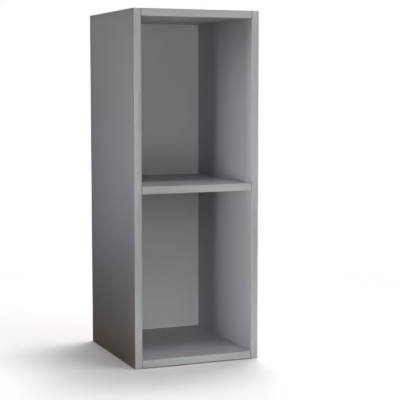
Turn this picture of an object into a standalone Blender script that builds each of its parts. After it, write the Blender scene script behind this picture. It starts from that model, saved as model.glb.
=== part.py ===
"""Open office shelf with two equal compartments, put together as a flat-pack carcass.

Two side panels carry a top, a shelf and a base on hidden cam fittings and dowels.
A hardboard back is nailed on behind, and plastic edging covers the edges that show.
Metres, Z up. The front faces -Y, and the origin is on the floor under the middle.
"""

import math
from collections import namedtuple

import bmesh
import bpy
import numpy
from mathutils import Matrix, Vector

# Overall sizes
WIDTH = 0.285
HEIGHT = 0.760
DEPTH = 0.310  # front of the edging to the heads of the nails

# Sheet materials
BOARD = 0.016
BACK_BOARD = 0.003
EDGING = 0.001
EDGING_ROUND = 0.0006

# Gaps between pieces
JOINT_GAP = 0.0003  # panel end to side panel, and back to carcass
GLUE_LINE = 0.0001  # edging to board
FIT = 0.0003  # all round a piece in its hole
END_ROOM = 0.0005  # past the end of a piece in its blind hole
FLOOR_GAP = 0.0015  # under the base panel
BACK_INSET = 0.0015  # edge of the back in from the outside of the carcass

# Cam fittings: a screwed-in bolt with a ball head, gripped by a turning cam
CAM_SETBACK = 0.024  # panel end to cam axis
CAM_FROM_FRONT = 0.055
CAM_FROM_REAR = 0.050
CAM_WALL = 0.0016  # at the thin end of the cam's curved jaw
CAM_THROW = 0.0007  # how far the cam's hollow is off its axis
CAM_RIM = 0.0007  # jaw beyond the ball head
DRIVE_LENGTH = 0.0075
DRIVE_WIDTH = 0.0014
DRIVE_DEPTH = 0.0022
BALL_RADIUS = 0.0032
BALL_LEAD = 0.0010  # ball centre ahead of the cam axis
NECK_RADIUS = 0.0022
SHANK_RADIUS = 0.0029
COLLAR_RADIUS = 0.0036
COLLAR = 0.0012
THREAD_RADIUS = 0.0030
THREAD_LENGTH = 0.0095
THREAD_POINT = 0.0012

# Dowels
DOWEL_RADIUS = 0.004
DOWEL_IN_SIDE = 0.010
DOWEL_IN_PANEL = 0.020
DOWEL_CHAMFER = 0.0008

# Nails of the back
NAIL_RADIUS = 0.0009
NAIL_LENGTH = 0.020
NAIL_POINT = 0.002
NAIL_HEAD_RADIUS = 0.0026
NAIL_HEAD = 0.0008
NAILS_UP_SIDE = 4
NAILS_ALONG_PANEL = 2
NAIL_FROM_END = 0.055  # first nail from the top or foot of a side panel
NAIL_FROM_SIDE = 0.060  # nail in a panel's edge from the side panel

# Facets round a full turn
CAM_SIDES = 24
BOLT_SIDES = 12
DOWEL_SIDES = 16
NAIL_SIDES = 8
BALL_STEPS = 4
ROUND_STEPS = 2

# A cutter starts this far outside the face that it enters
OVERRUN = FIT

# Planes across the carcass
OUTER_X = WIDTH / 2
MID_BOARD = BOARD / 2  # bolts, dowels and nails lie in the middle of a board
INNER_X = OUTER_X - BOARD
PANEL_END_X = INNER_X - JOINT_GAP
SIDE_MIDDLE_X = OUTER_X - MID_BOARD
CAM_X = PANEL_END_X - CAM_SETBACK

# Planes from front to rear
FRONT_Y = -DEPTH / 2
CORE_FRONT_Y = FRONT_Y + EDGING + GLUE_LINE
BACK_REAR_Y = DEPTH / 2 - NAIL_HEAD - GLUE_LINE
BACK_FRONT_Y = BACK_REAR_Y - BACK_BOARD
CORE_REAR_Y = BACK_FRONT_Y - JOINT_GAP
CAM_ROWS = {"front": FRONT_Y + CAM_FROM_FRONT, "rear": CORE_REAR_Y - CAM_FROM_REAR}
DOWEL_Y = sum(CAM_ROWS.values()) / len(CAM_ROWS)

# Heights of the undersides of the three panels between the sides
COMPARTMENT = (HEIGHT - FLOOR_GAP - 3 * BOARD) / 2
PANELS = {
    "base_panel": FLOOR_GAP,
    "middle_shelf": FLOOR_GAP + BOARD + COMPARTMENT,
    "top_panel": HEIGHT - BOARD,
}
SIDES = {"left": -1, "right": 1}

# Cam and bolt sizes that follow from the ball head
CAM_HOLLOW = BALL_LEAD + BALL_RADIUS + FIT + CAM_THROW
CAM_RADIUS = CAM_HOLLOW + CAM_THROW + CAM_WALL
CAM_FACE = MID_BOARD - BALL_RADIUS - FIT
CAM_HEIGHT = MID_BOARD + BALL_RADIUS + FIT + CAM_RIM

UP = Vector((0, 0, 1))
REARWARD = Vector((0, 1, 0))

Bore = namedtuple("Bore", "mouth direction radius depth sides")
Finish = namedtuple("Finish", "colour roughness metallic")

FINISHES = {
    "board": Finish((0.40, 0.41, 0.43), 0.55, 0.0),
    "edging": Finish((0.42, 0.44, 0.45), 0.45, 0.0),
    "hardboard": Finish((0.40, 0.41, 0.42), 0.65, 0.0),
    "zinc": Finish((0.56, 0.56, 0.55), 0.40, 1.0),
    "plated_steel": Finish((0.62, 0.61, 0.58), 0.32, 1.0),
    "beech": Finish((0.60, 0.43, 0.27), 0.65, 0.0),
}


def clear_scene():
    for leftover in list(bpy.data.objects):
        bpy.data.objects.remove(leftover, do_unlink=True)


def add_collection(name):
    group = bpy.data.collections.new(name)
    bpy.context.scene.collection.children.link(group)
    return group


def add_material(name, finish):
    material = bpy.data.materials.new(name)
    material.use_nodes = True
    shader = material.node_tree.nodes["Principled BSDF"]
    shader.inputs["Base Color"].default_value = (*finish.colour, 1.0)
    shader.inputs["Roughness"].default_value = finish.roughness
    shader.inputs["Metallic"].default_value = finish.metallic
    return material


def add_part(name, mesh, finish, location, rotation=(0, 0, 0)):
    """Places a mesh as one named piece of the shelf, in a material of its own."""
    part = bpy.data.objects.new(name, mesh)
    part.location = location
    part.rotation_euler = rotation
    part.parent = bpy.data.objects["office_shelf"]
    if not mesh.materials:
        mesh.materials.append(None)
    part.material_slots[0].link = "OBJECT"
    part.material_slots[0].material = add_material(name, FINISHES[finish])
    bpy.data.collections["office_shelf"].objects.link(part)
    return part


def add_helper(name, mesh):
    """A hidden object: a cutter, or a blank that a mesh is worked out from."""
    helper = bpy.data.objects.new(name, mesh)
    helper.hide_render = True
    helper.display_type = "WIRE"
    bpy.data.collections["cutters"].objects.link(helper)
    return helper


def cut(part, name, mesh):
    """Takes the cutter mesh, given in world coordinates, out of a piece."""
    modifier = part.modifiers.new(name, "BOOLEAN")
    modifier.operation = "DIFFERENCE"
    modifier.solver = "EXACT"
    modifier.object = add_helper(f"{part.name}_{name}", mesh)


def to_mesh(shape, name):
    mesh = bpy.data.meshes.new(name)
    shape.to_mesh(mesh)
    shape.free()
    return mesh


def add_box(shape, low, high):
    low = Vector(low)
    high = Vector(high)
    middle = Matrix.Translation((low + high) / 2)
    size = Matrix.Diagonal((*(high - low), 1.0))
    bmesh.ops.create_cube(shape, size=1.0, matrix=middle @ size)


def add_cylinder(shape, start, direction, length, radius, sides):
    turn = UP.rotation_difference(direction).to_matrix().to_4x4()
    middle = Matrix.Translation(Vector(start) + direction * length / 2)
    bmesh.ops.create_cone(
        shape,
        cap_ends=True,
        segments=sides,
        radius1=radius,
        radius2=radius,
        depth=length,
        matrix=middle @ turn,
    )


def box_mesh(name, low, high):
    shape = bmesh.new()
    add_box(shape, low, high)
    return to_mesh(shape, name)


def cylinder_mesh(name, start, direction, length, radius, sides):
    shape = bmesh.new()
    add_cylinder(shape, start, direction, length, radius, sides)
    return to_mesh(shape, name)


def bores_mesh(name, bores):
    """One cylinder for each bore. Bores that share a cutter don't meet."""
    shape = bmesh.new()
    for bore in bores:
        start = Vector(bore.mouth) - bore.direction * OVERRUN
        add_cylinder(shape, start, bore.direction, bore.depth + OVERRUN, bore.radius, bore.sides)
    return to_mesh(shape, name)


def evaluated_mesh(source):
    """The mesh that an object's modifiers make. The object itself is removed."""
    depsgraph = bpy.context.evaluated_depsgraph_get()
    mesh = bpy.data.meshes.new_from_object(source.evaluated_get(depsgraph))
    mesh.name = source.name
    bpy.data.objects.remove(source, do_unlink=True)
    mesh.shade_smooth()
    mesh.set_sharp_from_angle(angle=math.radians(35))
    return mesh


def turned_mesh(name, profile, sides):
    """Turns (radius, height) points about Z. They run from the top down."""
    mesh = bpy.data.meshes.new(name)
    points = [(radius, 0, height) for radius, height in profile]
    edges = [(index, index + 1) for index in range(len(points) - 1)]
    mesh.from_pydata(points, edges, [])
    blank = add_helper(name, mesh)
    screw = blank.modifiers.new("turn", "SCREW")
    screw.steps = sides
    screw.render_steps = sides
    screw.use_merge_vertices = True
    screw.merge_threshold = 0.00001
    return evaluated_mesh(blank)


def add_panel(name, low, high, finish):
    """A flat board between two corners, placed by its centre."""
    middle = (Vector(low) + Vector(high)) / 2
    mesh = box_mesh(name, Vector(low) - middle, Vector(high) - middle)
    return add_part(name, mesh, finish, middle)


def add_edging(name, low, high, outward):
    """A strip of edging with the two long arrises of its outward face rounded."""
    outward = Vector(outward)
    size = Vector(high) - Vector(low)
    length = max(size)
    middle = (Vector(low) + Vector(high)) / 2
    shape = bmesh.new()
    add_box(shape, -size / 2, size / 2)
    arrises = []
    for edge in shape.edges:
        on_outside = all(vertex.co.dot(outward) > 0 for vertex in edge.verts)
        if on_outside and math.isclose(edge.calc_length(), length, rel_tol=1e-4):
            arrises.append(edge)
    bmesh.ops.bevel(
        shape,
        geom=arrises,
        affect="EDGES",
        offset=min(EDGING_ROUND, EDGING),
        segments=ROUND_STEPS,
        profile=0.5,
        clamp_overlap=True,
    )
    mesh = to_mesh(shape, name)
    mesh.shade_smooth()
    mesh.set_sharp_from_angle(angle=math.radians(50))
    return add_part(name, mesh, "edging", middle)


def nail_heights():
    """Heights of the nails in a side panel's rear edge."""
    return numpy.linspace(NAIL_FROM_END, HEIGHT - NAIL_FROM_END, NAILS_UP_SIDE)


def nail_columns():
    """Places along X of the nails in the rear edge of a panel between the sides."""
    return numpy.linspace(NAIL_FROM_SIDE - INNER_X, INNER_X - NAIL_FROM_SIDE, NAILS_ALONG_PANEL)


def nail_places():
    """Where each nail goes through the rear face of the back, by name."""
    places = {}
    for side, sign in SIDES.items():
        for number, height in enumerate(nail_heights(), start=1):
            places[f"back_nail_{side}_{number}"] = (sign * SIDE_MIDDLE_X, height)
    for panel, underside in PANELS.items():
        for number, across in enumerate(nail_columns(), start=1):
            places[f"back_nail_{panel}_{number}"] = (across, underside + MID_BOARD)
    return places


def nail_bore(across, height):
    depth = NAIL_LENGTH - (BACK_REAR_Y - CORE_REAR_Y) + END_ROOM
    return Bore((across, CORE_REAR_Y, height), -REARWARD, NAIL_RADIUS + FIT, depth, NAIL_SIDES)


def add_side_panel(side):
    """A full-height side, bored on its inner face for bolts and dowels."""
    sign = SIDES[side]
    edge = EDGING + GLUE_LINE
    near = min(sign * INNER_X, sign * OUTER_X)
    far = max(sign * INNER_X, sign * OUTER_X)
    low = (near, CORE_FRONT_Y, edge)
    high = (far, CORE_REAR_Y, HEIGHT - edge)
    panel = add_panel(f"{side}_side_panel", low, high, "board")

    outward = Vector((sign, 0, 0))
    bores = []
    for underside in PANELS.values():
        height = underside + MID_BOARD
        for row_y in CAM_ROWS.values():
            mouth = (sign * INNER_X, row_y, height)
            depth = THREAD_LENGTH + END_ROOM
            bores.append(Bore(mouth, outward, THREAD_RADIUS + FIT, depth, BOLT_SIDES))
        mouth = (sign * INNER_X, DOWEL_Y, height)
        depth = DOWEL_IN_SIDE + END_ROOM
        bores.append(Bore(mouth, outward, DOWEL_RADIUS + FIT, depth, DOWEL_SIDES))
    for height in nail_heights():
        bores.append(nail_bore(sign * SIDE_MIDDLE_X, height))
    cut(panel, "bores", bores_mesh(f"{side}_bores", bores))

    strip_low = (near, FRONT_Y, 0)
    strip_high = (far, FRONT_Y + EDGING, HEIGHT)
    add_edging(f"{side}_side_front_edging", strip_low, strip_high, (0, -1, 0))
    strip_low = (near, CORE_FRONT_Y, HEIGHT - EDGING)
    strip_high = (far, CORE_REAR_Y, HEIGHT)
    add_edging(f"{side}_side_top_edging", strip_low, strip_high, (0, 0, 1))
    strip_low = (near, CORE_FRONT_Y, 0)
    strip_high = (far, CORE_REAR_Y, EDGING)
    add_edging(f"{side}_side_foot_edging", strip_low, strip_high, (0, 0, -1))


def add_flat_panel(name, underside):
    """A panel between the sides, with cam pockets in its underside and bored ends."""
    low = (-PANEL_END_X, CORE_FRONT_Y, underside)
    high = (PANEL_END_X, CORE_REAR_Y, underside + BOARD)
    panel = add_panel(name, low, high, "board")

    height = underside + MID_BOARD
    pockets = []
    bores = []
    for sign in SIDES.values():
        inward = Vector((-sign, 0, 0))
        for row_y in CAM_ROWS.values():
            mouth = (sign * CAM_X, row_y, underside)
            pockets.append(Bore(mouth, UP, CAM_RADIUS + FIT, CAM_HEIGHT + END_ROOM, CAM_SIDES))
            mouth = (sign * PANEL_END_X, row_y, height)
            bores.append(Bore(mouth, inward, COLLAR_RADIUS + FIT, CAM_SETBACK, BOLT_SIDES))
        mouth = (sign * PANEL_END_X, DOWEL_Y, height)
        depth = DOWEL_IN_PANEL - JOINT_GAP + END_ROOM
        bores.append(Bore(mouth, inward, DOWEL_RADIUS + FIT, depth, DOWEL_SIDES))
    for across in nail_columns():
        bores.append(nail_bore(across, height))
    cut(panel, "pockets", bores_mesh(f"{name}_pockets", pockets))
    cut(panel, "bores", bores_mesh(f"{name}_bores", bores))

    strip_low = (-PANEL_END_X, FRONT_Y, underside)
    strip_high = (PANEL_END_X, FRONT_Y + EDGING, underside + BOARD)
    add_edging(f"{name}_front_edging", strip_low, strip_high, (0, -1, 0))


def add_back():
    """The hardboard back, with a hole for each of its nails."""
    low = (-OUTER_X + BACK_INSET, BACK_FRONT_Y, BACK_INSET)
    high = (OUTER_X - BACK_INSET, BACK_REAR_Y, HEIGHT - BACK_INSET)
    panel = add_panel("back_panel", low, high, "hardboard")
    holes = []
    for across, height in nail_places().values():
        mouth = (across, BACK_REAR_Y, height)
        depth = BACK_BOARD + OVERRUN
        holes.append(Bore(mouth, -REARWARD, NAIL_RADIUS + FIT, depth, NAIL_SIDES))
    cut(panel, "nail_holes", bores_mesh("back_nail_holes", holes))


def cam_mesh():
    """A cam with its face at Z 0, locked on a bolt that comes in along +X.

    Turned half a turn about -Z, its jaw lets the ball head out through the round entry.
    """
    beyond = CAM_RADIUS + OVERRUN
    slot = NECK_RADIUS + FIT
    half_length = DRIVE_LENGTH / 2
    half_width = DRIVE_WIDTH / 2
    along_x = Vector((1, 0, 0))
    axis_point = (0, 0, MID_BOARD)
    hollow_start = (-CAM_THROW, 0, CAM_FACE)
    body = cylinder_mesh("cam", (0, 0, 0), UP, CAM_HEIGHT, CAM_RADIUS, CAM_SIDES)
    cutters = {
        "hollow": cylinder_mesh("hollow", hollow_start, UP, CAM_HEIGHT, CAM_HOLLOW, CAM_SIDES),
        "slot": box_mesh("slot", (-beyond, 0, MID_BOARD - slot), (beyond, beyond, MID_BOARD + slot)),
        "neck_end": cylinder_mesh("neck_end", axis_point, along_x, beyond, slot, BOLT_SIDES),
        "entry": cylinder_mesh("entry", axis_point, -along_x, beyond, BALL_RADIUS + FIT, BOLT_SIDES),
        "drive_along": box_mesh(
            "drive_along",
            (-half_length, -half_width, -OVERRUN),
            (half_length, half_width, DRIVE_DEPTH),
        ),
        "drive_across": box_mesh(
            "drive_across",
            (-half_width, -half_length, -OVERRUN),
            (half_width, half_length, DRIVE_DEPTH),
        ),
    }
    blank = add_helper("cam", body)
    for name, mesh in cutters.items():
        cut(blank, name, mesh)
    mesh = evaluated_mesh(blank)
    for name in cutters:
        bpy.data.objects.remove(bpy.data.objects[f"cam_{name}"], do_unlink=True)
    return mesh


def bolt_mesh():
    """A cam bolt along Z. Z 0 is the inner face of the side that it screws into."""
    collar_end = -FIT - COLLAR
    cam_axis = -(JOINT_GAP + CAM_SETBACK)
    neck_start = cam_axis + CAM_RADIUS + FIT
    ball_centre = cam_axis + BALL_LEAD
    ball_start = math.asin(NECK_RADIUS / BALL_RADIUS)
    profile = [
        (0, THREAD_LENGTH),
        (THREAD_RADIUS - THREAD_POINT / 2, THREAD_LENGTH),
        (THREAD_RADIUS, THREAD_LENGTH - THREAD_POINT),
        (THREAD_RADIUS, -FIT),
        (COLLAR_RADIUS, -FIT),
        (COLLAR_RADIUS, collar_end),
        (SHANK_RADIUS, collar_end),
        (SHANK_RADIUS, neck_start),
        (NECK_RADIUS, neck_start),
    ]
    for step in range(BALL_STEPS):
        turn = ball_start + (math.pi - ball_start) * step / BALL_STEPS
        profile.append((BALL_RADIUS * math.sin(turn), ball_centre + BALL_RADIUS * math.cos(turn)))
    profile.append((0, ball_centre - BALL_RADIUS))
    return turned_mesh("cam_bolt", profile, BOLT_SIDES)


def dowel_mesh():
    """A dowel along Z. Z 0 is the inner face of the side panel."""
    profile = [
        (0, DOWEL_IN_SIDE),
        (DOWEL_RADIUS - DOWEL_CHAMFER, DOWEL_IN_SIDE),
        (DOWEL_RADIUS, DOWEL_IN_SIDE - DOWEL_CHAMFER),
        (DOWEL_RADIUS, DOWEL_CHAMFER - DOWEL_IN_PANEL),
        (DOWEL_RADIUS - DOWEL_CHAMFER, -DOWEL_IN_PANEL),
        (0, -DOWEL_IN_PANEL),
    ]
    return turned_mesh("dowel", profile, DOWEL_SIDES)


def nail_mesh():
    """A nail along Z, with the underside of its flat head at Z 0."""
    profile = [
        (0, NAIL_HEAD),
        (NAIL_HEAD_RADIUS - NAIL_HEAD / 2, NAIL_HEAD),
        (NAIL_HEAD_RADIUS, NAIL_HEAD / 2),
        (NAIL_HEAD_RADIUS, 0),
        (NAIL_RADIUS, 0),
        (NAIL_RADIUS, NAIL_POINT - NAIL_LENGTH),
        (0, -NAIL_LENGTH),
    ]
    return turned_mesh("nail", profile, NAIL_SIDES)


def add_fittings():
    """Cams, cam bolts and dowels at both ends of every panel between the sides."""
    cam = cam_mesh()
    bolt = bolt_mesh()
    dowel = dowel_mesh()
    for panel, underside in PANELS.items():
        height = underside + MID_BOARD
        for side, sign in SIDES.items():
            toward_side = (0, sign * math.pi / 2, 0)
            facing = (0, 0, 0 if sign > 0 else math.pi)
            for row, row_y in CAM_ROWS.items():
                place = (sign * CAM_X, row_y, underside)
                add_part(f"{panel}_cam_{row}_{side}", cam, "zinc", place, facing)
                place = (sign * INNER_X, row_y, height)
                add_part(f"{panel}_cam_bolt_{row}_{side}", bolt, "plated_steel", place, toward_side)
            place = (sign * INNER_X, DOWEL_Y, height)
            add_part(f"{panel}_dowel_{side}", dowel, "beech", place, toward_side)


def add_nails():
    mesh = nail_mesh()
    pointing_rearward = (-math.pi / 2, 0, 0)
    for name, (across, height) in nail_places().items():
        place = (across, BACK_REAR_Y + GLUE_LINE, height)
        add_part(name, mesh, "plated_steel", place, pointing_rearward)


def main():
    clear_scene()
    add_collection("office_shelf")
    add_collection("cutters")
    root = bpy.data.objects.new("office_shelf", None)
    bpy.data.collections["office_shelf"].objects.link(root)
    for side in SIDES:
        add_side_panel(side)
    for name, underside in PANELS.items():
        add_flat_panel(name, underside)
    add_back()
    add_fittings()
    add_nails()


main()
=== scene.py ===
import math

import bpy
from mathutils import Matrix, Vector


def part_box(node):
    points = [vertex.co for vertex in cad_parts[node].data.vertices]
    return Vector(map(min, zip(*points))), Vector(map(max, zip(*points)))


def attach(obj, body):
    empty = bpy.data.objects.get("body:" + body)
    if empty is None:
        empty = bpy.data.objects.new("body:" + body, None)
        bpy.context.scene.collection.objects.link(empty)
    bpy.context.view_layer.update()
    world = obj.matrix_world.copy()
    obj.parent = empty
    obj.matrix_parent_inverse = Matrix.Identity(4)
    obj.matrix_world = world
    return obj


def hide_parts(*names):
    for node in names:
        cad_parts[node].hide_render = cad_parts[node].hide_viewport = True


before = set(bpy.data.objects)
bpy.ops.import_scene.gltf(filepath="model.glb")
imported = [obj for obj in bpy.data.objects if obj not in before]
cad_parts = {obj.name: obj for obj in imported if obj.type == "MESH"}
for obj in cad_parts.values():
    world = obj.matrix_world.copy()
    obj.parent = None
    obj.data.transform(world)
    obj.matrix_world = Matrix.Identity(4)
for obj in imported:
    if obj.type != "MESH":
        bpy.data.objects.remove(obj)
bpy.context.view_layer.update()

# Camera, fitted to the corners of the carcass in the photograph
CAMERA_PLACE = (-0.94525, -2.47188, 0.59938)
CAMERA_TILT = math.radians(90 - 5.54)
CAMERA_PAN = math.radians(-22.31)
CAMERA_LENS = 105.84
CAMERA_SENSOR = 36.0

# Studio
WHITE = (1, 1, 1, 1)
SURROUND_STRENGTH = 0.04
FLOOR_RADIUS = 1.4
FLOOR_SIDES = 96
FLOOR_PALE = (0.82, 0.80, 0.80, 1)
FLOOR_BOUNCE = (0.13, 0.085, 0.045, 1)
COOL = (0.65, 1.00, 1.36)
WARM = (1.45, 1.00, 0.45)
# Watts and beam in degrees of the light on each level front edge, and watts on each upright one
LEVEL_EDGE_LIGHTS = {"base_panel": (0.036, 25), "middle_shelf": (0.052, 25), "top_panel": (0.25, 45)}
UPRIGHT_EDGE_WATTS = {"left": 0.016, "right": 0.027}

# Colours of the finishes
MELAMINE_GREY = (0.398, 0.402, 0.436, 1)
MELAMINE_PALE = (0.438, 0.442, 0.474, 1)
SCUFF_GREY = (0.56, 0.56, 0.56, 1)
DUST = (0.60, 0.585, 0.56, 1)
CHIP_PALE = (0.52, 0.37, 0.21, 1)
CHIP_BROWN = (0.24, 0.145, 0.075, 1)
EDGING_GREY = (0.420, 0.438, 0.454, 1)
EDGING_PALE = (0.466, 0.484, 0.500, 1)
# Painted shade in the joints between edging strips, with a little dirt
JOINT_SHADE_AND_DIRT = (0.060, 0.062, 0.066, 1)
LACQUER_GREY = (0.385, 0.390, 0.405, 1)
LACQUER_PALE = (0.420, 0.425, 0.440, 1)
FIBRE_BROWN = (0.205, 0.108, 0.052, 1)
FIBRE_TAN = (0.345, 0.205, 0.105, 1)
ZINC_DULL = (0.30, 0.30, 0.30, 1)
ZINC_BRIGHT = (0.52, 0.52, 0.51, 1)
PLATING = (0.63, 0.62, 0.60, 1)
PLATING_YELLOW = (0.60, 0.55, 0.43, 1)
BEECH_PALE = (0.62, 0.42, 0.25, 1)
BEECH_DARK = (0.44, 0.27, 0.14, 1)

# Sizes of the pieces, as they are in the solids
EDGING_ROUND = 0.0006
FIT = 0.0003
CAM_RADIUS = 0.0075
CAM_HEIGHT = 0.0122
CAM_FACE = 0.0045
CAM_HOLLOW = 0.0052
CAM_THROW = 0.0007
CAM_AXIS = 0.0243  # in from the inner face of the side panel
DRIVE_LENGTH = 0.0075
DRIVE_WIDTH = 0.0014
DRIVE_DEPTH = 0.0022
BOLT_HEIGHT = 0.008  # bolt axis above the face of its cam
BALL_RADIUS = 0.0032
BALL_LEAD = 0.0010  # ball centre ahead of the cam axis
NECK_RADIUS = 0.0022
SHANK_RADIUS = 0.0029
COLLAR_RADIUS = 0.0036
COLLAR = 0.0012
THREAD_RADIUS = 0.0030
THREAD_LENGTH = 0.0095
DOWEL_RADIUS = 0.004
DOWEL_IN_SIDE = 0.010
DOWEL_IN_PANEL = 0.020
DOWEL_CHAMFER = 0.0008
NAIL_RADIUS = 0.0009
NAIL_LENGTH = 0.020
NAIL_POINT = 0.002
NAIL_HEAD_RADIUS = 0.0026
NAIL_HEAD = 0.0008

# Fine forms and marks that the solids leave out
CAM_LIP = 0.0003
CAM_DISH_SLOPE = 0.0006
CAM_DISH_DEPTH = 0.00015
ARROW_PLACE = 0.0052
ARROW_RADIUS = 0.0010
ARROW_CUT = 0.0009
THREAD_DEPTH = 0.0006
THREAD_PITCH = 0.0014
THREAD_START = 0.0010
BOLT_TIP_TAPER = 0.0006
BOLT_TIP_LENGTH = 0.0008
BOLT_CHAMFER = 0.0002
NECK_TAPER = 0.0004
BALL_END = 0.00015
BALL_STEPS = 10
DOWEL_FLUTES = 18
POINTS_PER_FLUTE = 4
FLUTE_FLOOR = 0.93  # of the dowel's radius
NAIL_RINGS = 7
RINGS_START = 0.0045
RING_PITCH = 0.0012
RING_LEDGE = 0.0003
RING_SLOPE_END = 0.0010
RING_FLOOR = 0.86  # of the nail's radius
NAIL_TIP = 0.12  # of the nail's radius
# Width of the painted shade and dirt on the edging beside the strips it meets
JOINT_SHADE_WIDTH = 0.0016

# Limits for picking faces and points
SQUARE_ON = 0.7
TOUCH = 1e-6

PANELS = ("base_panel", "middle_shelf", "top_panel")
SIDES = ("left", "right")
ROWS = ("front", "rear")


# Camera, floor and light
def add_camera():
    bpy.ops.object.camera_add(location=CAMERA_PLACE, rotation=(CAMERA_TILT, 0, CAMERA_PAN))
    camera = bpy.context.object
    camera.name = "photo_camera"
    camera.data.lens = CAMERA_LENS
    camera.data.sensor_width = CAMERA_SENSOR
    bpy.context.scene.camera = camera


def reach_of(name, state, pieces):
    """A collection for light linking: INCLUDE lights these pieces alone, EXCLUDE all but these."""
    reach = bpy.data.collections.new(name)
    for piece in pieces:
        reach.objects.link(piece)
    for member in reach.collection_objects:
        member.light_linking.link_state = state
    return reach


def add_softbox(name, reach, place, target, width, height, watts, beam=180, tint=WHITE[:3]):
    """A rectangular area light at a place, turned to a target, with its beam in degrees."""
    aim = Vector(target) - Vector(place)
    turn = aim.to_track_quat("-Z", "Y").to_euler()
    bpy.ops.object.light_add(type="AREA", location=place, rotation=turn)
    light = bpy.context.object
    light.name = name
    light.visible_camera = False
    light.light_linking.receiver_collection = reach
    light.data.shape = "RECTANGLE"
    light.data.size = width
    light.data.size_y = height
    light.data.energy = watts
    light.data.color = tint
    light.data.spread = math.radians(beam)


def mix_shaders(tree, factor, first, second):
    mix = tree.nodes.new("ShaderNodeMixShader")
    tree.links.new(factor, mix.inputs["Fac"])
    tree.links.new(first, mix.inputs[1])
    tree.links.new(second, mix.inputs[2])
    return mix.outputs["Shader"]


def add_floor():
    """A round floor that fades to white. It is pale to the camera alone, and throws little light back."""
    deselect_all()
    bpy.ops.mesh.primitive_circle_add(
        vertices=FLOOR_SIDES, radius=FLOOR_RADIUS, fill_type="NGON", location=(0, 0, 0)
    )
    floor = bpy.context.object
    floor.name = "studio_floor"
    material = bpy.data.materials.new("studio_floor")
    material.use_nodes = True
    tree = material.node_tree
    tree.nodes.clear()
    output = tree.nodes.new("ShaderNodeOutputMaterial")
    path = tree.nodes.new("ShaderNodeLightPath")
    dim = tree.nodes.new("ShaderNodeBsdfDiffuse")
    pale = tree.nodes.new("ShaderNodeBsdfDiffuse")
    white = tree.nodes.new("ShaderNodeEmission")
    dim.inputs["Color"].default_value = FLOOR_BOUNCE
    pale.inputs["Color"].default_value = FLOOR_PALE
    coordinates = tree.nodes.new("ShaderNodeTexCoord")
    distance = length(tree, coordinates.outputs["Object"])
    fade_start = 0.5 * FLOOR_RADIUS
    fade_end = 0.97 * FLOOR_RADIUS
    fade = remap(tree, distance, fade_start, fade_end)
    seen = mix_shaders(tree, fade, pale.outputs["BSDF"], white.outputs["Emission"])
    surface = mix_shaders(tree, path.outputs["Is Camera Ray"], dim.outputs["BSDF"], seen)
    tree.links.new(surface, output.inputs["Surface"])
    floor.data.materials.append(material)
    return floor


def add_backdrop():
    """A world that is white to the camera and gives only a little light itself."""
    world = bpy.data.worlds.new("studio")
    bpy.context.scene.world = world
    world.use_nodes = True
    tree = world.node_tree
    tree.nodes.clear()
    output = tree.nodes.new("ShaderNodeOutputWorld")
    path = tree.nodes.new("ShaderNodeLightPath")
    surround = tree.nodes.new("ShaderNodeBackground")
    backdrop = tree.nodes.new("ShaderNodeBackground")
    surround.inputs["Color"].default_value = WHITE
    surround.inputs["Strength"].default_value = SURROUND_STRENGTH
    backdrop.inputs["Color"].default_value = WHITE
    backdrop.inputs["Strength"].default_value = 1.0
    seen = path.outputs["Is Camera Ray"]
    surface = mix_shaders(tree, seen, surround.outputs["Background"], backdrop.outputs["Background"])
    tree.links.new(surface, output.inputs["Surface"])


def add_studio():
    add_camera()
    add_backdrop()
    floor = add_floor()
    on_floor = reach_of("floor_alone", "INCLUDE", [floor])
    add_softbox("floor_overhead", on_floor, (0.52, 0.42, 3.2), (0.05, 0, 0), 0.8, 0.8, 71)
    add_softbox("floor_front", on_floor, (0.8, -0.9, 2.2), (0, 0, 0), 1.2, 1.2, 21)
    add_softbox("floor_rear", on_floor, (0.3, 1.6, 2.0), (0, 0, 0), 1.2, 1.2, 18)
    add_softbox("floor_left", on_floor, (-1.2, -0.6, 2.0), (0, 0, 0), 1.2, 1.2, 17)
    on_shelf = reach_of("all_but_floor", "EXCLUDE", [floor])
    add_softbox("top_softbox", on_shelf, (0.3, 0.8, 2.8), (0, 0, 0.76), 0.8, 0.8, 28)
    add_softbox("front_top_softbox", on_shelf, (0.25, -0.9, 3.2), (0.05, 0, 0), 0.8, 0.8, 28)
    far_left = (-2.8, -0.3, 0.45)
    left_top = (-0.14, 0.05, 0.80)
    left_low = (-0.14, 0.05, 0.30)
    add_softbox("left_softbox", on_shelf, far_left, (-0.14, -0.12, 0.55), 0.4, 0.4, 0.495, beam=22)
    add_softbox("left_top_softbox", on_shelf, far_left, left_top, 0.4, 0.4, 0.079, beam=8)
    add_softbox("left_low_softbox", on_shelf, far_left, left_low, 0.4, 0.4, 0.046, beam=8, tint=COOL)
    near_foot = (-0.9, -0.25, 0.05)
    left_foot = (-0.14, -0.07, 0.02)
    add_softbox("left_foot_strip", on_shelf, near_foot, left_foot, 0.5, 0.05, 0.0050, beam=18, tint=WARM)
    add_softbox("right_softbox", on_shelf, (2.6, 0.1, 0.3), (0, 0, 0.38), 1.0, 0.9, 32)
    add_softbox("rear_softbox", on_shelf, (0.4, 2.8, 0.2), (0, 0, 0.38), 1.2, 1.1, 42)
    add_softbox("front_strip", on_shelf, (-0.08, -1.5, 0.2), (0, 0, 0.2), 0.3, 1.4, 12.3)
    front_foot = (-0.02, -0.155, 0.0)
    add_softbox("foot_strip", on_shelf, (-0.1, -1.3, 0.05), front_foot, 0.5, 0.08, 0.09, beam=24)
    on_middle_shelf = (-0.03, -0.10, 0.392)
    under_top = (-0.03, -0.10, 0.744)
    add_softbox("under_strip", on_shelf, on_middle_shelf, under_top, 0.16, 0.08, 0.02, beam=60)
    bpy.context.scene.view_settings.view_transform = "Standard"
    return floor


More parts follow.
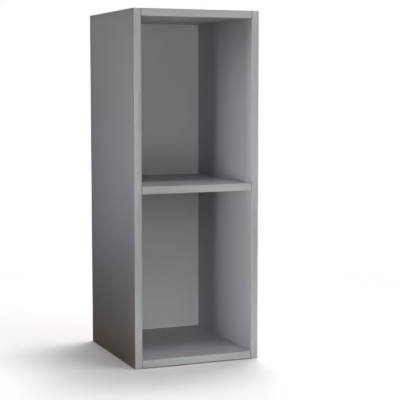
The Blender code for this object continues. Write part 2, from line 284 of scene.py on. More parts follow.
def add_edge_lights(floor):
    """A strip light for the inside that misses the level front edges, and a light for each front edge."""
    level = [bpy.data.objects[f"{panel}_front_edging_strip"] for panel in PANELS]
    past_level = reach_of("all_but_floor_and_level_edges", "EXCLUDE", [floor] + level)
    right_wall = (0.12, -0.12, 0.28)
    add_softbox("inside_strip", past_level, (-0.75, -0.66, 0.28), right_wall, 0.08, 0.8, 0.27, beam=20)
    to_the_right = (0.5, -1.2, 0.2)
    for panel, strip in zip(PANELS, level):
        watts, beam = LEVEL_EDGE_LIGHTS[panel]
        reach = reach_of(f"{strip.name}_alone", "INCLUDE", [strip])
        low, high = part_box(f"{panel}_front_edging")
        right_end = (high.x, low.y, (low.z + high.z) / 2)
        add_softbox(f"{strip.name}_light", reach, to_the_right, right_end, 0.1, 0.1, watts, beam)
    for side, watts in UPRIGHT_EDGE_WATTS.items():
        strip = bpy.data.objects[f"{side}_side_front_edging_strip"]
        reach = reach_of(f"{strip.name}_alone", "INCLUDE", [strip])
        low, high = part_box(f"{side}_side_front_edging")
        upper_end = Vector((high.x, low.y, high.z - 0.01))
        before = upper_end + Vector((0.01, -0.085, 0.05))
        add_softbox(f"{strip.name}_light", reach, before, upper_end, 0.03, 0.03, watts)


# Small helpers for shader nodes
def wire(tree, socket, source):
    """Feeds a socket from another node's output, or sets its value."""
    if isinstance(source, bpy.types.NodeSocket):
        tree.links.new(source, socket)
    else:
        socket.default_value = source


def calculate(tree, operation, *sources):
    node = tree.nodes.new("ShaderNodeMath")
    node.operation = operation
    for socket, source in zip(node.inputs, sources):
        wire(tree, socket, source)
    return node.outputs["Value"]


def calculate_vector(tree, operation, *sources):
    node = tree.nodes.new("ShaderNodeVectorMath")
    node.operation = operation
    for socket, source in zip(node.inputs, sources):
        wire(tree, socket, source)
    return node.outputs["Vector"]


def length(tree, vector):
    node = tree.nodes.new("ShaderNodeVectorMath")
    node.operation = "LENGTH"
    wire(tree, node.inputs[0], vector)
    return node.outputs["Value"]


def part_along(tree, vector, axis):
    """A vector's part along X, Y or Z."""
    node = tree.nodes.new("ShaderNodeSeparateXYZ")
    wire(tree, node.inputs["Vector"], vector)
    return node.outputs[axis]


def remap(tree, value, low, high, to_low=0.0, to_high=1.0):
    """Takes a value from one range smoothly to another, and holds it at the ends."""
    node = tree.nodes.new("ShaderNodeMapRange")
    node.interpolation_type = "SMOOTHSTEP"
    wire(tree, node.inputs["Value"], value)
    wire(tree, node.inputs["From Min"], low)
    wire(tree, node.inputs["From Max"], high)
    wire(tree, node.inputs["To Min"], to_low)
    wire(tree, node.inputs["To Max"], to_high)
    return node.outputs["Result"]


def blend(tree, factor, first, second):
    """Mixes two colours."""
    node = tree.nodes.new("ShaderNodeMix")
    node.data_type = "RGBA"
    wire(tree, node.inputs[0], factor)
    wire(tree, node.inputs[6], first)
    wire(tree, node.inputs[7], second)
    return node.outputs[2]


def noise(tree, vector, scale, detail=2.0, roughness=0.5):
    node = tree.nodes.new("ShaderNodeTexNoise")
    wire(tree, node.inputs["Vector"], vector)
    wire(tree, node.inputs["Scale"], scale)
    node.inputs["Detail"].default_value = detail
    node.inputs["Roughness"].default_value = roughness
    return node.outputs["Fac"]


def cells(tree, vector, scale, output="Distance"):
    node = tree.nodes.new("ShaderNodeTexVoronoi")
    wire(tree, node.inputs["Vector"], vector)
    wire(tree, node.inputs["Scale"], scale)
    return node.outputs[output]


def stretch(tree, vector, scale):
    node = tree.nodes.new("ShaderNodeMapping")
    wire(tree, node.inputs["Vector"], vector)
    node.inputs["Scale"].default_value = scale
    return node.outputs["Vector"]


def add_group(name, inputs, outputs):
    """An empty node group with its sockets, and its input and output nodes."""
    group = bpy.data.node_groups.new(name, "ShaderNodeTree")
    for socket, kind in inputs.items():
        group.interface.new_socket(socket, in_out="INPUT", socket_type=kind)
    for socket, kind in outputs.items():
        group.interface.new_socket(socket, in_out="OUTPUT", socket_type=kind)
    return group, group.nodes.new("NodeGroupInput"), group.nodes.new("NodeGroupOutput")


def place_group(tree, group, **values):
    """Puts a group in a material. Keyword names are socket names with _ for a space."""
    node = tree.nodes.new("ShaderNodeGroup")
    node.node_tree = bpy.data.node_groups[group]
    for name, value in values.items():
        wire(tree, node.inputs[name.replace("_", " ")], value)
    return node.outputs


# Effects that several finishes share
def add_pearl_emboss():
    """The fine pearl pattern pressed into melamine and lacquer, and a slow drift of tone."""
    inputs = {"Vector": "NodeSocketVector", "Grains per metre": "NodeSocketFloat"}
    outputs = {"Height": "NodeSocketFloat", "Drift": "NodeSocketFloat"}
    group, start, end = add_group("pearl_emboss", inputs, outputs)
    vector = start.outputs["Vector"]
    scale = start.outputs["Grains per metre"]
    fine = noise(group, vector, scale)
    pits = cells(group, vector, calculate(group, "MULTIPLY", scale, 0.6))
    height = calculate(group, "MULTIPLY_ADD", pits, -0.5, fine)
    wire(group, end.inputs["Height"], height)
    slow = noise(group, vector, 4.5, detail=5.0, roughness=0.55)
    wire(group, end.inputs["Drift"], remap(group, slow, 0.30, 0.70))


def add_arris_wear():
    """A broken mask along the arrises of a box-shaped piece between two corners."""
    inputs = {
        "Vector": "NodeSocketVector",
        "Low": "NodeSocketVector",
        "High": "NodeSocketVector",
        "Width": "NodeSocketFloat",
    }
    group, start, end = add_group("arris_wear", inputs, {"Mask": "NodeSocketFloat"})
    vector = start.outputs["Vector"]
    from_low = calculate_vector(group, "SUBTRACT", vector, start.outputs["Low"])
    from_high = calculate_vector(group, "SUBTRACT", start.outputs["High"], vector)
    inset = calculate_vector(group, "MINIMUM", from_low, from_high)
    inset = calculate_vector(group, "ABSOLUTE", inset)
    x, y, z = (part_along(group, inset, axis) for axis in "XYZ")
    least = calculate(group, "MINIMUM", calculate(group, "MINIMUM", x, y), z)
    most = calculate(group, "MAXIMUM", calculate(group, "MAXIMUM", x, y), z)
    total = calculate(group, "ADD", calculate(group, "ADD", x, y), z)
    from_arris = calculate(group, "SUBTRACT", calculate(group, "SUBTRACT", total, least), most)
    ragged = noise(group, vector, 140.0, detail=4.0, roughness=0.65)
    spread = remap(group, ragged, 0.40, 0.75, 0.1, 1.6)
    reach = calculate(group, "MULTIPLY", start.outputs["Width"], spread)
    near = calculate(group, "DIVIDE", from_arris, reach)
    mask = remap(group, near, 0.3, 1.0, 1.0, 0.0)
    patchy = remap(group, noise(group, vector, 22.0, detail=3.0), 0.42, 0.66, 0.1, 1.0)
    wire(group, end.inputs["Mask"], calculate(group, "MULTIPLY", mask, patchy))


def add_settled_dust():
    """A mask of thin dust on faces that look up, thicker towards the rear."""
    inputs = {
        "Vector": "NodeSocketVector",
        "Normal": "NodeSocketVector",
        "Front": "NodeSocketFloat",
        "Rear": "NodeSocketFloat",
    }
    group, start, end = add_group("settled_dust", inputs, {"Mask": "NodeSocketFloat"})
    vector = start.outputs["Vector"]
    up = remap(group, part_along(group, start.outputs["Normal"], "Z"), 0.6, 0.95)
    depth = part_along(group, vector, "Y")
    towards_rear = remap(group, depth, start.outputs["Front"], start.outputs["Rear"], 0.35, 1.0)
    uneven = noise(group, vector, 26.0, detail=6.0, roughness=0.7)
    clouds = remap(group, uneven, 0.35, 0.70, 0.35, 1.0)
    specks = remap(group, noise(group, vector, 1500.0, detail=1.0), 0.60, 0.72, 0.0, 0.35)
    thin = calculate(group, "ADD", clouds, specks)
    lying = calculate(group, "MULTIPLY", up, towards_rear)
    wire(group, end.inputs["Mask"], calculate(group, "MULTIPLY", lying, thin))


def add_box_distance():
    """How far a point lies outside a box, for the painted shade and dirt beside the piece that fills the
    box.
    """
    inputs = {"Vector": "NodeSocketVector", "Low": "NodeSocketVector", "High": "NodeSocketVector"}
    group, start, end = add_group("box_distance", inputs, {"Distance": "NodeSocketFloat"})
    below = calculate_vector(group, "SUBTRACT", start.outputs["Low"], start.outputs["Vector"])
    above = calculate_vector(group, "SUBTRACT", start.outputs["Vector"], start.outputs["High"])
    beyond = calculate_vector(group, "MAXIMUM", below, above)
    outside = calculate_vector(group, "MAXIMUM", beyond, (0, 0, 0))
    wire(group, end.inputs["Distance"], length(group, outside))


def add_long_fibres():
    """Streaks along a stretched vector, for edging lines, wood fibres and drawn metal."""
    inputs = {"Vector": "NodeSocketVector", "Streaks per metre": "NodeSocketFloat"}
    outputs = {"Streak": "NodeSocketFloat", "Fleck": "NodeSocketFloat"}
    group, start, end = add_group("long_fibres", inputs, outputs)
    vector = start.outputs["Vector"]
    scale = start.outputs["Streaks per metre"]
    streak = noise(group, vector, scale, detail=3.0, roughness=0.6)
    wire(group, end.inputs["Streak"], remap(group, streak, 0.30, 0.70))
    fleck = noise(group, vector, calculate(group, "MULTIPLY", scale, 1.7), detail=1.0)
    wire(group, end.inputs["Fleck"], remap(group, fleck, 0.62, 0.70))


def add_chip_core():
    """Pressed wood chips, as they show at a sawn edge or in a drilled hole."""
    outputs = {"Color": "NodeSocketColor", "Height": "NodeSocketFloat"}
    group, start, end = add_group("chip_core", {"Vector": "NodeSocketVector"}, outputs)
    flat = stretch(group, start.outputs["Vector"], (1.0, 1.0, 2.2))
    wobble = noise(group, flat, 320.0, detail=3.0)
    chips = cells(group, flat, 620.0, "Color")
    tone = part_along(group, chips, "X")
    mixed = calculate(group, "MULTIPLY_ADD", wobble, 0.5, calculate(group, "MULTIPLY", tone, 0.6))
    wire(group, end.inputs["Color"], blend(group, mixed, CHIP_BROWN, CHIP_PALE))
    wire(group, end.inputs["Height"], mixed)


# Finishes
def start_finish(name):
    """A material, its node tree, its shader, and the outputs of its Texture Coordinate node."""
    material = bpy.data.materials.new(name)
    material.use_nodes = True
    tree = material.node_tree
    coordinates = tree.nodes.new("ShaderNodeTexCoord")
    shader = tree.nodes["Principled BSDF"]
    return material, tree, shader, coordinates.outputs


def add_bump(tree, shader, height, distance):
    bump = tree.nodes.new("ShaderNodeBump")
    bump.inputs["Distance"].default_value = distance
    bump.inputs["Strength"].default_value = 1.0
    wire(tree, bump.inputs["Height"], height)
    wire(tree, shader.inputs["Normal"], bump.outputs["Normal"])


def facing(tree, normal, axis):
    """1 where a face looks either way along an axis, and 0 elsewhere."""
    along = calculate(tree, "ABSOLUTE", part_along(tree, normal, axis))
    return calculate(tree, "GREATER_THAN", along, SQUARE_ON)


def melamine_board(name, low, high, axis):
    """Grey melamine on the two faces across an axis, and bare chipboard on the rest."""
    material, tree, shader, coordinates = start_finish(name)
    place = coordinates["Object"]
    normal = coordinates["Normal"]
    pearl = place_group(tree, "pearl_emboss", Vector=place, Grains_per_metre=1300.0)
    core = place_group(tree, "chip_core", Vector=place)
    wear = place_group(tree, "arris_wear", Vector=place, Low=low, High=high, Width=0.0012)
    dust = place_group(tree, "settled_dust", Vector=place, Normal=normal, Front=low.y, Rear=high.y)
    face = facing(tree, normal, axis)
    drift = calculate(tree, "MULTIPLY", pearl["Drift"], 0.7)
    tone = calculate(tree, "MULTIPLY_ADD", pearl["Height"], 0.45, drift)
    colour = blend(tree, tone, MELAMINE_GREY, MELAMINE_PALE)
    colour = blend(tree, calculate(tree, "MULTIPLY", wear["Mask"], 0.5), colour, SCUFF_GREY)
    colour = blend(tree, calculate(tree, "MULTIPLY", dust["Mask"], 0.22), colour, DUST)
    wire(tree, shader.inputs["Base Color"], blend(tree, face, core["Color"], colour))
    sheen = calculate(tree, "MULTIPLY_ADD", pearl["Height"], 0.10, 0.40)
    sheen = calculate(tree, "MULTIPLY_ADD", dust["Mask"], 0.20, sheen)
    bare = calculate(tree, "MULTIPLY", calculate(tree, "SUBTRACT", 1.0, face), 0.4)
    wire(tree, shader.inputs["Roughness"], calculate(tree, "ADD", sheen, bare))
    relief = calculate(tree, "MULTIPLY", core["Height"], calculate(tree, "MULTIPLY", bare, 4.0))
    relief = calculate(tree, "MULTIPLY_ADD", pearl["Height"], 0.9, relief)
    add_bump(tree, shader, relief, distance=0.00012)
    shader.inputs["Specular IOR Level"].default_value = 0.4
    return material


def plastic_edging(name, low, high, along, neighbours):
    """Satin grey plastic with fine lines along it, rubbed arrises, and painted shade with some dirt beside
    the strips it meets.
    """
    material, tree, shader, coordinates = start_finish(name)
    place = coordinates["Object"]
    normal = coordinates["Normal"]
    drawn = [0.02 if axis == along else 1.0 for axis in range(3)]
    drawn_place = stretch(tree, place, drawn)
    lines = place_group(tree, "long_fibres", Vector=drawn_place, Streaks_per_metre=1800.0)
    pearl = place_group(tree, "pearl_emboss", Vector=place, Grains_per_metre=3200.0)
    wear = place_group(tree, "arris_wear", Vector=place, Low=low, High=high, Width=0.0010)
    dust = place_group(tree, "settled_dust", Vector=place, Normal=normal, Front=low.y, Rear=high.y)
    drift = calculate(tree, "MULTIPLY", pearl["Drift"], 0.3)
    tone = calculate(tree, "MULTIPLY_ADD", lines["Streak"], 0.2, drift)
    colour = blend(tree, tone, EDGING_GREY, EDGING_PALE)
    colour = blend(tree, calculate(tree, "MULTIPLY", wear["Mask"], 0.35), colour, SCUFF_GREY)
    colour = blend(tree, calculate(tree, "MULTIPLY", dust["Mask"], 0.25), colour, DUST)
    # Painted shade with some dirt: the edging is darkened near each strip it meets, as if the joint were
    # in shade
    for neighbour in neighbours:
        box_low, box_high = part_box(neighbour)
        gap = place_group(tree, "box_distance", Vector=place, Low=box_low, High=box_high)
        shade_and_dirt = remap(tree, gap["Distance"], 0.0, JOINT_SHADE_WIDTH, 0.85, 0.0)
        colour = blend(tree, shade_and_dirt, colour, JOINT_SHADE_AND_DIRT)
    wire(tree, shader.inputs["Base Color"], colour)
    sheen = calculate(tree, "MULTIPLY_ADD", lines["Streak"], 0.10, 0.34)
    sheen = calculate(tree, "MULTIPLY_ADD", wear["Mask"], -0.10, sheen)
    sheen = calculate(tree, "MULTIPLY_ADD", dust["Mask"], 0.25, sheen)
    wire(tree, shader.inputs["Roughness"], sheen)
    relief = calculate(tree, "MULTIPLY", pearl["Height"], 0.3)
    relief = calculate(tree, "MULTIPLY_ADD", lines["Streak"], 0.5, relief)
    add_bump(tree, shader, relief, distance=0.00003)
    shader.inputs["Specular IOR Level"].default_value = 0.45
    return material


def hardboard_back(name, low, high):
    """Grey lacquer on the inner face, and bare pressed fibre with its wire-mesh print behind."""
    material, tree, shader, coordinates = start_finish(name)
    place = coordinates["Object"]
    normal = coordinates["Normal"]
    pearl = place_group(tree, "pearl_emboss", Vector=place, Grains_per_metre=1500.0)
    flat = stretch(tree, place, (1.0, 1.0, 0.35))
    fibre = place_group(tree, "long_fibres", Vector=flat, Streaks_per_metre=900.0)
    wear = place_group(tree, "arris_wear", Vector=place, Low=low, High=high, Width=0.0020)
    radians_per_metre = 4200.0
    waves = []
    for axis in "XZ":
        turn = calculate(tree, "MULTIPLY", part_along(tree, place, axis), radians_per_metre)
        waves.append(calculate(tree, "SINE", turn))
    mesh_print = calculate(tree, "MULTIPLY", *waves)
    inner = calculate(tree, "LESS_THAN", part_along(tree, normal, "Y"), -SQUARE_ON)
    outer = calculate(tree, "SUBTRACT", 1.0, inner)
    lacquer = blend(tree, pearl["Drift"], LACQUER_GREY, LACQUER_PALE)
    drift = calculate(tree, "MULTIPLY", pearl["Drift"], 0.45)
    tone = calculate(tree, "MULTIPLY_ADD", fibre["Streak"], 0.55, drift)
    bare = blend(tree, tone, FIBRE_BROWN, FIBRE_TAN)
    bare = blend(tree, calculate(tree, "MULTIPLY", fibre["Fleck"], 0.5), bare, CHIP_PALE)
    bare = blend(tree, calculate(tree, "MULTIPLY", wear["Mask"], 0.5), bare, CHIP_PALE)
    wire(tree, shader.inputs["Base Color"], blend(tree, inner, bare, lacquer))
    sheen = calculate(tree, "MULTIPLY_ADD", pearl["Height"], 0.1, 0.46)
    sheen = calculate(tree, "MULTIPLY_ADD", outer, 0.25, sheen)
    wire(tree, shader.inputs["Roughness"], sheen)
    pressed = calculate(tree, "MULTIPLY_ADD", mesh_print, 0.5, fibre["Streak"])
    relief = calculate(tree, "MULTIPLY", pressed, outer)
    relief = calculate(tree, "MULTIPLY_ADD", pearl["Height"], 0.25, relief)
    add_bump(tree, shader, relief, distance=0.00012)
    shader.inputs["Specular IOR Level"].default_value = 0.35
    return material


def die_cast_zinc(name):
    """Matt cast metal with a grainy skin and a dull mottle."""
    material, tree, shader, coordinates = start_finish(name)
    place = coordinates["Object"]
    skin = place_group(tree, "pearl_emboss", Vector=place, Grains_per_metre=4200.0)
    mottle = remap(tree, noise(tree, place, 420.0, detail=5.0, roughness=0.65), 0.32, 0.68)
    wire(tree, shader.inputs["Base Color"], blend(tree, mottle, ZINC_DULL, ZINC_BRIGHT))
    wire(tree, shader.inputs["Roughness"], remap(tree, mottle, 0.0, 1.0, 0.52, 0.34))
    add_bump(tree, shader, skin["Height"], distance=0.00005)
    shader.inputs["Metallic"].default_value = 1.0
    return material


def plated_steel(name, along):
    """Bright zinc plating with a faint yellow cast and drawn lines along an axis."""
    material, tree, shader, coordinates = start_finish(name)
    place = coordinates["Object"]
    drawn_place = stretch(tree, place, along)
    lines = place_group(tree, "long_fibres", Vector=drawn_place, Streaks_per_metre=5200.0)
    cast = remap(tree, noise(tree, place, 260.0, detail=4.0), 0.35, 0.70)
    wire(tree, shader.inputs["Base Color"], blend(tree, cast, PLATING, PLATING_YELLOW))
    wire(tree, shader.inputs["Roughness"], calculate(tree, "MULTIPLY_ADD", lines["Streak"], 0.16, 0.22))
    add_bump(tree, shader, lines["Streak"], distance=0.00002)
    shader.inputs["Metallic"].default_value = 1.0
    return material


def bare_beech(name):
    """Unfinished beech with its fibres and short dark flecks along the dowel."""
    material, tree, shader, coordinates = start_finish(name)
    place = coordinates["Object"]
    along = stretch(tree, place, (0.10, 1.0, 1.0))
    fibre = place_group(tree, "long_fibres", Vector=along, Streaks_per_metre=2400.0)
    colour = blend(tree, fibre["Streak"], BEECH_DARK, BEECH_PALE)
    colour = blend(tree, calculate(tree, "MULTIPLY", fibre["Fleck"], 0.6), colour, BEECH_DARK)
    wire(tree, shader.inputs["Base Color"], colour)
    wire(tree, shader.inputs["Roughness"], calculate(tree, "MULTIPLY_ADD", fibre["Streak"], 0.12, 0.55))
    add_bump(tree, shader, fibre["Streak"], distance=0.00008)
    return material


# Modelling helpers
def start_piece(name):
    piece = bpy.context.object
    piece.name = name
    piece.data.name = name
    bpy.ops.object.transform_apply(location=True, rotation=True, scale=True)
    return piece


def deselect_all():
    bpy.ops.object.select_all(action="DESELECT")


def select_parts(piece, kind, wanted):
    """Enters edit mode with the edges or faces selected whose points all pass a test."""
    bpy.ops.object.mode_set(mode="EDIT")
    bpy.ops.mesh.select_mode(type=kind)
    bpy.ops.mesh.select_all(action="DESELECT")
    bpy.ops.object.mode_set(mode="OBJECT")
    mesh = piece.data
    parts = mesh.edges if kind == "EDGE" else mesh.polygons
    for part in parts:
        part.select = all(wanted(mesh.vertices[index].co) for index in part.vertices)
    bpy.ops.object.mode_set(mode="EDIT")


def smooth(piece, degrees):
    deselect_all()
    piece.select_set(True)
    bpy.context.view_layer.objects.active = piece
    bpy.ops.object.shade_smooth_by_angle(angle=math.radians(degrees))


def finish_piece(piece, node, body, material):
    piece.data.materials.clear()
    piece.data.materials.append(material)
    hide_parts(node)
    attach(piece, body)


def place_copy(model, name, place, turn):
    """A copy of a model with its own mesh, with its place and turn in the mesh."""
    deselect_all()
    model.select_set(True)
    bpy.context.view_layer.objects.active = model
    bpy.ops.object.duplicate()
    bpy.context.object.location = place
    bpy.context.object.rotation_euler = turn
    return start_piece(name)


def remove_model(model):
    deselect_all()
    model.select_set(True)
    bpy.ops.object.delete()


def extrude_rings(profile):
    """Draws the selected cap out through (radius, height) rings, resizing it at each."""
    radius, height = profile[0]
    for next_radius, next_height in profile[1:]:
        step = (0, 0, next_height - height)
        bpy.ops.mesh.extrude_region_move(TRANSFORM_OT_translate={"value": step})
        scale = next_radius / radius
        bpy.ops.transform.resize(value=(scale, scale, 1), center_override=(0, 0, next_height))
        radius = next_radius
        height = next_height


def close_solid():
    bpy.ops.mesh.select_all(action="SELECT")
    bpy.ops.mesh.normals_make_consistent(inside=False)
    bpy.ops.object.mode_set(mode="OBJECT")


def turned_model(name, profile, sides):
    """A round solid about Z, drawn out ring by ring from its first cap."""
    radius, height = profile[0]
    deselect_all()
    bpy.ops.mesh.primitive_circle_add(
        vertices=sides, radius=radius, fill_type="NGON", location=(0, 0, height)
    )
    piece = start_piece(name)
    bpy.ops.object.mode_set(mode="EDIT")
    bpy.ops.mesh.select_all(action="SELECT")
    extrude_rings(profile)
    close_solid()
    return piece


def cut_away(piece, cutter):
    """Takes a cutter out of a piece and removes the cutter."""
    modifier = piece.modifiers.new("cut", "BOOLEAN")
    modifier.operation = "DIFFERENCE"
    modifier.solver = "EXACT"
    modifier.object = cutter
    deselect_all()
    piece.select_set(True)
    bpy.context.view_layer.objects.active = piece
    bpy.ops.object.modifier_apply(modifier=modifier.name)
    remove_model(cutter)


def box_cutter(low, high):
    deselect_all()
    middle = (Vector(low) + Vector(high)) / 2
    size = Vector(high) - Vector(low)
    bpy.ops.mesh.primitive_cube_add(size=1, location=middle, scale=size)
    return start_piece("cutter")


def round_cutter(middle, radius, length, turn=(0, 0, 0), sides=48):
    deselect_all()
    bpy.ops.mesh.primitive_cylinder_add(
        vertices=sides, radius=radius, depth=length, location=middle, rotation=turn
    )
    return start_piece("cutter")


# Pieces
def model_edging(node, outward, rolled_ends, neighbours):
    """A strip with its outward face rolled over at the long arrises, and at both ends if asked."""
    low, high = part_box(node)
    size = high - low
    middle = (low + high) / 2
    deselect_all()
    bpy.ops.mesh.primitive_cube_add(size=1, location=middle, scale=size)
    strip = start_piece(f"{node}_strip")
    across = min(range(3), key=lambda axis: size[axis])
    along = max(range(3), key=lambda axis: size[axis])
    outer = high[across] if outward > 0 else low[across]
    select_parts(strip, "EDGE", lambda point: abs(point[across] - outer) < TOUCH)
    bpy.ops.object.mode_set(mode="OBJECT")
    if not rolled_ends:
        for edge in strip.data.edges:
            first, second = (strip.data.vertices[index].co for index in edge.vertices)
            edge.select = edge.select and abs(first[along] - second[along]) > size[along] / 2
    bpy.ops.object.mode_set(mode="EDIT")
    bpy.ops.mesh.bevel(offset=EDGING_ROUND, segments=6, profile=0.5, affect="EDGES")
    bpy.ops.object.mode_set(mode="OBJECT")
    smooth(strip, 40)
    plastic = plastic_edging(strip.name, low, high, along, neighbours)
    finish_piece(strip, node, "carcass", plastic)


def model_cam():
    """A cam with its face at Z 0, locked on a bolt that comes in along +X."""
    beyond = CAM_RADIUS + FIT
    slot = NECK_RADIUS + FIT
    half_length = DRIVE_LENGTH / 2
    half_width = DRIVE_WIDTH / 2
    sideways = (0, math.pi / 2, 0)
    deselect_all()
    bpy.ops.mesh.primitive_cylinder_add(
        vertices=64, radius=CAM_RADIUS, depth=CAM_HEIGHT, location=(0, 0, CAM_HEIGHT / 2)
    )
    cam = start_piece("cam_model")
    select_parts(cam, "FACE", lambda point: point.z < TOUCH)
    bpy.ops.mesh.inset(thickness=CAM_LIP, depth=0)
    bpy.ops.mesh.inset(thickness=CAM_DISH_SLOPE, depth=-CAM_DISH_DEPTH)
    bpy.ops.object.mode_set(mode="OBJECT")
    hollow_middle = (-CAM_THROW, 0, CAM_FACE + CAM_HEIGHT / 2)
    cut_away(cam, round_cutter(hollow_middle, CAM_HOLLOW, CAM_HEIGHT))
    cut_away(cam, box_cutter((-beyond, 0, BOLT_HEIGHT - slot), (beyond, beyond, BOLT_HEIGHT + slot)))
    neck_end = (beyond / 2, 0, BOLT_HEIGHT)
    ball_way = (-beyond / 2, 0, BOLT_HEIGHT)
    cut_away(cam, round_cutter(neck_end, slot, beyond, sideways, sides=24))
    cut_away(cam, round_cutter(ball_way, BALL_RADIUS + FIT, beyond, sideways, sides=24))
    cut_away(cam, box_cutter((-half_length, -half_width, -FIT), (half_length, half_width, DRIVE_DEPTH)))
    cut_away(cam, box_cutter((-half_width, -half_length, -FIT), (half_width, half_length, DRIVE_DEPTH)))
    pointing_outward = (0, 0, -math.pi / 2)
    cut_away(cam, round_cutter((ARROW_PLACE, 0, 0), ARROW_RADIUS, ARROW_CUT, pointing_outward, sides=3))
    smooth(cam, 30)
    return cam


def model_bolt():
    """A cam bolt along Z with a coarse thread. Z 0 is the inner face of the side that it screws into."""
    root = THREAD_RADIUS - THREAD_DEPTH
    crest_start = 0.40 * THREAD_PITCH
    crest_end = 0.55 * THREAD_PITCH
    turn_end = 0.90 * THREAD_PITCH
    profile = [(root - BOLT_TIP_TAPER, THREAD_LENGTH), (root, THREAD_LENGTH - BOLT_TIP_LENGTH)]
    height = THREAD_LENGTH - THREAD_START
    while height - THREAD_PITCH > -FIT:
        profile.append((root, height))
        profile.append((THREAD_RADIUS, height - crest_start))
        profile.append((THREAD_RADIUS, height - crest_end))
        profile.append((root, height - turn_end))
        height -= THREAD_PITCH
    collar_end = -FIT - COLLAR
    neck_start = -CAM_AXIS + CAM_RADIUS + FIT
    ball_centre = -CAM_AXIS + BALL_LEAD
    profile += [
        (root, -FIT),
        (COLLAR_RADIUS - BOLT_CHAMFER, -FIT),
        (COLLAR_RADIUS, -FIT - BOLT_CHAMFER),
        (COLLAR_RADIUS, collar_end + BOLT_CHAMFER),
        (COLLAR_RADIUS - BOLT_CHAMFER, collar_end),
        (SHANK_RADIUS, collar_end),
        (SHANK_RADIUS, neck_start + NECK_TAPER),
        (NECK_RADIUS, neck_start),
    ]
    ball_start = math.asin(NECK_RADIUS / BALL_RADIUS)
    for step in range(BALL_STEPS):
        turn = ball_start + (math.pi - ball_start) * step / BALL_STEPS
        profile.append((BALL_RADIUS * math.sin(turn), ball_centre + BALL_RADIUS * math.cos(turn)))
    profile.append((BALL_END, ball_centre - BALL_RADIUS))
    bolt = turned_model("bolt_model", profile, 24)
    smooth(bolt, 35)
    return bolt


def model_dowel():
    """A fluted dowel along Z with chamfered ends. Z 0 is the inner face of the side panel."""
    top = DOWEL_IN_SIDE
    foot = -DOWEL_IN_PANEL
    deselect_all()
    bpy.ops.mesh.primitive_circle_add(
        vertices=DOWEL_FLUTES * POINTS_PER_FLUTE,
        radius=DOWEL_RADIUS,
        fill_type="NGON",
        location=(0, 0, top),
    )
    dowel = start_piece("dowel_model")
    bpy.ops.object.mode_set(mode="EDIT")
    bpy.ops.mesh.select_mode(type="VERT")
    bpy.ops.mesh.select_all(action="DESELECT")
    bpy.ops.object.mode_set(mode="OBJECT")
    for index, vertex in enumerate(dowel.data.vertices):
        vertex.select = index % POINTS_PER_FLUTE == 0
    bpy.ops.object.mode_set(mode="EDIT")
    bpy.ops.transform.resize(value=(FLUTE_FLOOR, FLUTE_FLOOR, 1), center_override=(0, 0, top))
    bpy.ops.mesh.select_all(action="SELECT")
    end = DOWEL_RADIUS - DOWEL_CHAMFER
    narrowed = end / DOWEL_RADIUS
    bpy.ops.transform.resize(value=(narrowed, narrowed, 1), center_override=(0, 0, top))
    extrude_rings([
        (end, top),
        (DOWEL_RADIUS, top - DOWEL_CHAMFER),
        (DOWEL_RADIUS, foot + DOWEL_CHAMFER),
        (end, foot),
    ])
    close_solid()
    smooth(dowel, 35)
    return dowel


def model_nail():
    """A ring-shanked nail along Z, with the underside of its low domed head at Z 0."""
    tip = -NAIL_LENGTH
    # The dome's rings, as shares of the head's radius and height
    dome = [(0.15, 1.0), (0.45, 0.97), (0.75, 0.84), (0.93, 0.64), (1.0, 0.40), (0.97, 0.0)]
    profile = [(NAIL_HEAD_RADIUS * across, NAIL_HEAD * up) for across, up in dome]
    profile.append((NAIL_RADIUS, 0))
    for ring in range(NAIL_RINGS):
        height = -RINGS_START - ring * RING_PITCH
        profile.append((NAIL_RADIUS, height))
        profile.append((NAIL_RADIUS * RING_FLOOR, height - RING_LEDGE))
        profile.append((NAIL_RADIUS, height - RING_SLOPE_END))
    profile += [(NAIL_RADIUS, tip + NAIL_POINT), (NAIL_RADIUS * NAIL_TIP, tip)]
    nail = turned_model("nail_model", profile, 20)
    smooth(nail, 40)
    return nail


def dress_boards():
    for side in SIDES:
        node = f"{side}_side_panel"
        low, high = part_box(node)
        assign(node, melamine_board(node, low, high, "X"))
    for node in PANELS:
        low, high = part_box(node)
        assign(node, melamine_board(node, low, high, "Z"))
    low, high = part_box("back_panel")
    assign("back_panel", hardboard_back("back_panel", low, high))


def assign(node, material):
    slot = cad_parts[node].material_slots[0]
    slot.link = "OBJECT"
    slot.material = material


def add_edgings():
    upright = [f"{side}_side_front_edging" for side in SIDES]
    level = [f"{panel}_front_edging" for panel in PANELS]
    for node in upright:
        model_edging(node, outward=-1, rolled_ends=False, neighbours=level)
    for node in level:
        model_edging(node, outward=-1, rolled_ends=True, neighbours=upright)
    for side in SIDES:
        model_edging(f"{side}_side_top_edging", outward=1, rolled_ends=False, neighbours=[])
        model_edging(f"{side}_side_foot_edging", outward=-1, rolled_ends=False, neighbours=[])


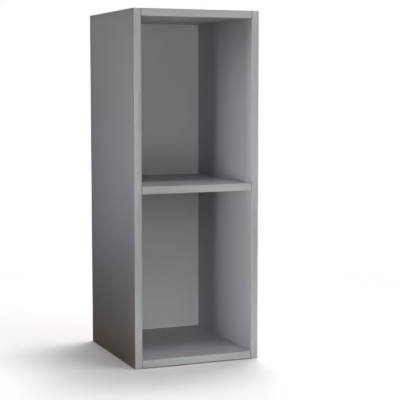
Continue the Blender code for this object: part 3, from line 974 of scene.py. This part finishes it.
def add_fittings():
    """Cams, bolts and dowels at both ends of the three panels."""
    zinc = die_cast_zinc("die_cast_zinc")
    steel = plated_steel("plated_steel_bolts", (0.05, 1.0, 1.0))
    beech = bare_beech("bare_beech")
    cam = model_cam()
    bolt = model_bolt()
    dowel = model_dowel()
    for panel in PANELS:
        for side in SIDES:
            right = side == "right"
            half_turn = (0, 0, 0) if right else (0, 0, math.pi)
            outward = (0, math.pi / 2, 0) if right else (0, -math.pi / 2, 0)
            inner_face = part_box(f"{side}_side_panel")[0 if right else 1].x
            for row in ROWS:
                node = f"{panel}_cam_{row}_{side}"
                low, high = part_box(node)
                place = ((low.x + high.x) / 2, (low.y + high.y) / 2, low.z)
                piece = place_copy(cam, f"{node}_cast", place, half_turn)
                finish_piece(piece, node, node, zinc)
                node = f"{panel}_cam_bolt_{row}_{side}"
                low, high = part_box(node)
                place = (inner_face, (low.y + high.y) / 2, (low.z + high.z) / 2)
                piece = place_copy(bolt, f"{node}_turned", place, outward)
                finish_piece(piece, node, "carcass", steel)
            node = f"{panel}_dowel_{side}"
            low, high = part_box(node)
            place = (inner_face, (low.y + high.y) / 2, (low.z + high.z) / 2)
            piece = place_copy(dowel, f"{node}_fluted", place, outward)
            finish_piece(piece, node, "carcass", beech)
    remove_model(cam)
    remove_model(bolt)
    remove_model(dowel)


def add_nails():
    steel = plated_steel("plated_steel_nails", (1.0, 0.05, 1.0))
    nail = model_nail()
    head_rearward = (-math.pi / 2, 0, 0)
    names = [f"back_nail_{side}_{number}" for side in SIDES for number in (1, 2, 3, 4)]
    names += [f"back_nail_{panel}_{number}" for panel in PANELS for number in (1, 2)]
    for node in names:
        low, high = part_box(node)
        place = ((low.x + high.x) / 2, high.y - NAIL_HEAD, (low.z + high.z) / 2)
        piece = place_copy(nail, f"{node}_turned", place, head_rearward)
        finish_piece(piece, node, "carcass", steel)
    remove_model(nail)


floor = add_studio()
add_pearl_emboss()
add_arris_wear()
add_settled_dust()
add_box_distance()
add_long_fibres()
add_chip_core()
dress_boards()
add_edgings()
add_fittings()
add_nails()
add_edge_lights(floor)
